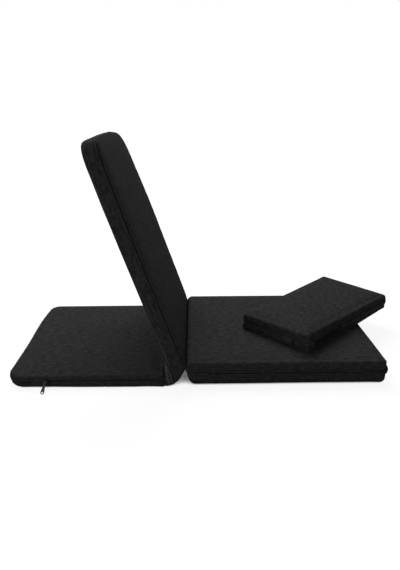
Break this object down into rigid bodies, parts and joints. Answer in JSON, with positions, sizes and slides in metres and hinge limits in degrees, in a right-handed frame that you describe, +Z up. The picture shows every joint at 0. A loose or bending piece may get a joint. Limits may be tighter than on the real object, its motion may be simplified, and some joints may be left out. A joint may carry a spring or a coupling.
{
  "type": "folding floor chair",
  "caption": "Padded floor chair: a base panel and a tall backrest joined by ratchet hinges, with a seat pad and a loose cushion in zipped cloth covers.",
  "frame": {"origin": "centre of the base panel's underside, on the floor", "axes": "+X from the base towards the seat pad, +Y to the sitter's left, +Z up"},
  "size_m": [1.0554, 0.5255, 0.5871],
  "materials": {
    "canvas": "woven cotton canvas",
    "foam": "open-cell foam",
    "webbing": "woven strap",
    "tube_steel": "powder coat",
    "hinge_steel": "zinc plate",
    "spring_steel": "blued spring steel",
    "zip_tape": "woven tape with a nylon coil",
    "zip_metal": "gunmetal lacquer"
  },
  "bodies": {
    "base": {"base_cover": "canvas", "base_foam": "foam", "base_frame": "tube_steel", "base_cross_tube": "tube_steel", "hinge_toothed_leaf_left": "hinge_steel", "hinge_toothed_leaf_right": "hinge_steel", "base_leaf_rivets": "hinge_steel", "base_zip_tape": "zip_tape", "cover_fold": "canvas"},
    "base_zip_slider": {"base_zip_slider": "zip_metal"},
    "base_zip_puller": {"base_zip_puller": "zip_metal"},
    "backrest": {"backrest_cover": "canvas", "backrest_foam": "foam", "backrest_frame": "tube_steel", "backrest_cross_tube": "tube_steel", "backrest_webbing": "webbing", "hinge_cheek_inner_left": "hinge_steel", "hinge_cheek_outer_left": "hinge_steel", "hinge_spacer_left": "hinge_steel", "hinge_pivot_left": "hinge_steel", "pawl_pin_left": "hinge_steel", "pawl_spring_left": "spring_steel", "hinge_cheek_inner_right": "hinge_steel", "hinge_cheek_outer_right": "hinge_steel", "hinge_spacer_right": "hinge_steel", "hinge_pivot_right": "hinge_steel", "pawl_pin_right": "hinge_steel", "pawl_spring_right": "spring_steel", "cheek_rivets": "hinge_steel", "backrest_zip_tape": "zip_tape"},
    "pawl_left": {"pawl_left": "hinge_steel"},
    "pawl_right": {"pawl_right": "hinge_steel"},
    "seat_pad": {"seat_cover": "canvas", "seat_foam": "foam", "seat_zip_tape": "zip_tape"},
    "seat_zip_slider": {"seat_zip_slider": "zip_metal"},
    "seat_zip_puller": {"seat_zip_puller": "zip_metal"},
    "cushion": {"cushion_cover": "canvas", "cushion_fill": "foam", "cushion_zip_tape": "zip_tape", "cushion_tab": "canvas"},
    "cushion_zip_slider": {"cushion_zip_slider": "zip_metal"},
    "cushion_zip_puller": {"cushion_zip_puller": "zip_metal"}
  },
  "joints": [
    {"name": "backrest_recline", "type": "hinge", "parent": "base", "child": "backrest", "pos_m": [0.2165, 0, 0.038], "axis": [0, 1, 0], "range_deg": [-70, 14], "deforming": ["cover_fold"]},
    {"name": "pawl_left_lift", "type": "hinge", "parent": "backrest", "child": "pawl_left", "pos_m": [0.23431, -0.208, 0.06], "axis": [0, 1, 0], "range_deg": [0, 10], "stiffness_Nm_per_rad": 0.1, "springref_deg": -17.19, "deforming": ["pawl_spring_left"]},
    {"name": "pawl_right_lift", "type": "hinge", "parent": "backrest", "child": "pawl_right", "pos_m": [0.23431, 0.208, 0.06], "axis": [0, 1, 0], "range_deg": [0, 10], "stiffness_Nm_per_rad": 0.1, "springref_deg": -17.19, "deforming": ["pawl_spring_right"]},
    {"name": "seat_pad_pull", "type": "slide", "parent": "base", "child": "seat_pad", "axis": [1, 0, 0], "range_m": [0, 0.3]},
    {"name": "cushion_lift", "type": "slide", "parent": "seat_pad", "child": "cushion", "axis": [0, 0, 1], "range_m": [0, 0.25]},
    {"name": "base_zip_run", "type": "slide", "parent": "base", "child": "base_zip_slider", "axis": [-1, 0, 0], "range_m": [0, 0.042]},
    {"name": "base_pull_swing", "type": "hinge", "parent": "base_zip_slider", "child": "base_zip_puller", "pos_m": [-0.0965, -0.2353, 0.017], "axis": [-1, 0, 0], "range_deg": [0, 120]},
    {"name": "seat_zip_run", "type": "slide", "parent": "seat_pad", "child": "seat_zip_slider", "axis": [0, -1, 0], "range_m": [0, 0.118]},
    {"name": "seat_pull_swing", "type": "hinge", "parent": "seat_zip_slider", "child": "seat_zip_puller", "pos_m": [0.75036, -0.091, 0.036], "axis": [0, -1, 0], "range_deg": [0, 160]},
    {"name": "cushion_zip_run", "type": "slide", "parent": "cushion", "child": "cushion_zip_slider", "axis": [0.7071, -0.7071, 0], "range_m": [0, 0.08]},
    {"name": "cushion_pull_swing", "type": "hinge", "parent": "cushion_zip_slider", "child": "cushion_zip_puller", "pos_m": [0.7951, 0.18905, 0.0867], "axis": [0.7071, -0.7071, 0], "range_deg": [0, 160]}
  ]
}
